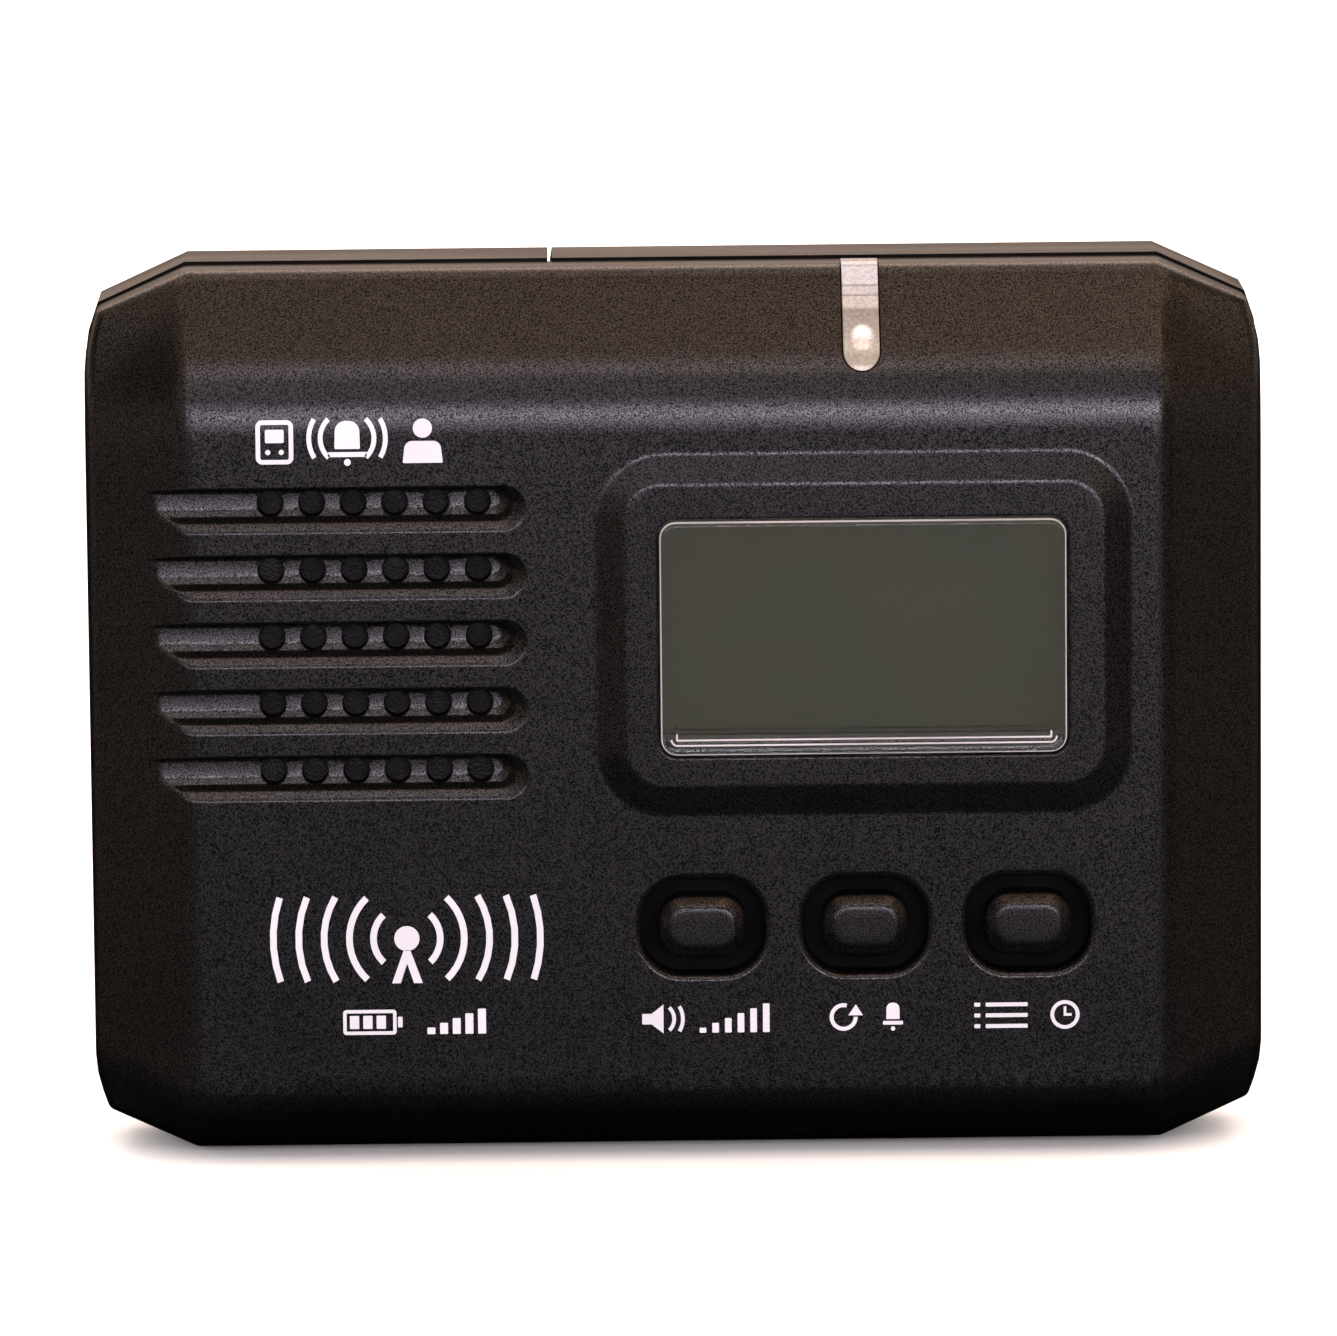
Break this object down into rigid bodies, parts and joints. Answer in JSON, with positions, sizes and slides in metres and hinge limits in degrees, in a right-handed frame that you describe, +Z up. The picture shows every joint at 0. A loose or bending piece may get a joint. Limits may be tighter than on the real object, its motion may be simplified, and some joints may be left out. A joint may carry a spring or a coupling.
{
  "type": "belt-clip pager",
  "caption": "Belt-clip pager: octagonal two-part case with a display window, slotted speaker grille, push buttons, light pipe, sliding battery door and sprung clip.",
  "frame": {"origin": "centre of the bottom wall, on the plane where the front and rear shells meet", "axes": "+X to the right seen from the front, +Y from the front to the back, +Z up; the front panel faces -Y"},
  "size_m": [0.088, 0.0329, 0.0675],
  "materials": {
    "case_plastic": "finely textured matte black moulding",
    "button_plastic": "satin black moulding",
    "clear_plastic": "clear polished acrylic",
    "lcd_glass": "grey-green polarised display glass",
    "reflector_film": "satin grey film",
    "white_plastic": "natural nylon",
    "zebra_rubber": "striped conductive elastomer",
    "circuit_board": "green solder mask",
    "rf_circuit_board": "blue solder mask",
    "chip_plastic": "moulded epoxy",
    "smd_ceramic": "ceramic with tinned ends",
    "steel": "zinc-plated",
    "black_steel": "black-oxide",
    "aluminium_can": "drawn can",
    "copper_wire": "enamelled copper",
    "nickel": "nickel-plated spring steel",
    "tungsten": "sintered",
    "soft_rubber": "moulded",
    "speaker_paper": "treated paper",
    "magnet_steel": "plated",
    "lamp_epoxy": "diffused epoxy lamp",
    "cell_wrap": "printed sleeve over a steel can",
    "red_insulation": "PVC insulation",
    "black_insulation": "PVC insulation",
    "blue_insulation": "PVC insulation"
  },
  "bodies": {
    "case": {"front_shell": "case_plastic", "rear_shell": "case_plastic", "display_lens": "clear_plastic", "lcd_front_glass": "lcd_glass", "lcd_rear_glass": "lcd_glass", "lcd_reflector": "reflector_film", "lcd_holder": "white_plastic", "zebra_strip": "zebra_rubber", "main_board": "circuit_board", "microcontroller": "chip_plastic", "smd_parts": "smd_ceramic", "capacitor": "aluminium_can", "crystal": "steel", "rf_board": "rf_circuit_board", "rf_header": "chip_plastic", "rf_chip": "chip_plastic", "antenna_coil": "copper_wire", "status_led": "lamp_epoxy", "light_pipe": "clear_plastic", "speaker_gasket": "soft_rubber", "speaker_frame": "steel", "speaker_cone": "speaker_paper", "speaker_magnet": "magnet_steel", "tact_switches": "chip_plastic", "motor_can": "steel", "motor_sleeve": "soft_rubber", "battery_upper": "cell_wrap", "battery_lower": "cell_wrap", "battery_springs": "nickel", "battery_contacts": "nickel", "clip_pin": "steel", "clip_spring": "nickel", "case_screws": "black_steel", "board_screws": "steel", "speaker_wires": "red_insulation", "battery_wires": "black_insulation", "motor_wires": "blue_insulation"},
    "volume": {"volume_button": "button_plastic", "volume_plunger": "white_plastic"},
    "reset": {"reset_button": "button_plastic", "reset_plunger": "white_plastic"},
    "review": {"review_button": "button_plastic", "review_plunger": "white_plastic"},
    "door": {"battery_door": "case_plastic"},
    "clip": {"clip_arm": "case_plastic"},
    "rotor": {"motor_shaft": "steel", "motor_weight": "tungsten"}
  },
  "joints": [
    {"name": "volume_press", "type": "slide", "parent": "case", "child": "volume", "axis": [0, 1, 0], "range_m": [0, 0.0006], "stiffness_N_per_m": 800},
    {"name": "reset_press", "type": "slide", "parent": "case", "child": "reset", "axis": [0, 1, 0], "range_m": [0, 0.0006], "stiffness_N_per_m": 800},
    {"name": "review_press", "type": "slide", "parent": "case", "child": "review", "axis": [0, 1, 0], "range_m": [0, 0.0006], "stiffness_N_per_m": 800},
    {"name": "door_slide", "type": "slide", "parent": "case", "child": "door", "axis": [0, 0, -1], "range_m": [0, 0.031]},
    {"name": "clip_hinge", "type": "hinge", "parent": "case", "child": "clip", "pos_m": [0, 0.018, 0.057], "axis": [1, 0, 0], "range_deg": [0, 18], "stiffness_Nm_per_rad": 0.3, "springref_deg": -17.19, "deforming": ["clip_spring"]},
    {"name": "rotor_spin", "type": "hinge", "parent": "case", "child": "rotor", "pos_m": [0.023, 0.0056, 0.047], "axis": [1, 0, 0], "continuous": true}
  ]
}
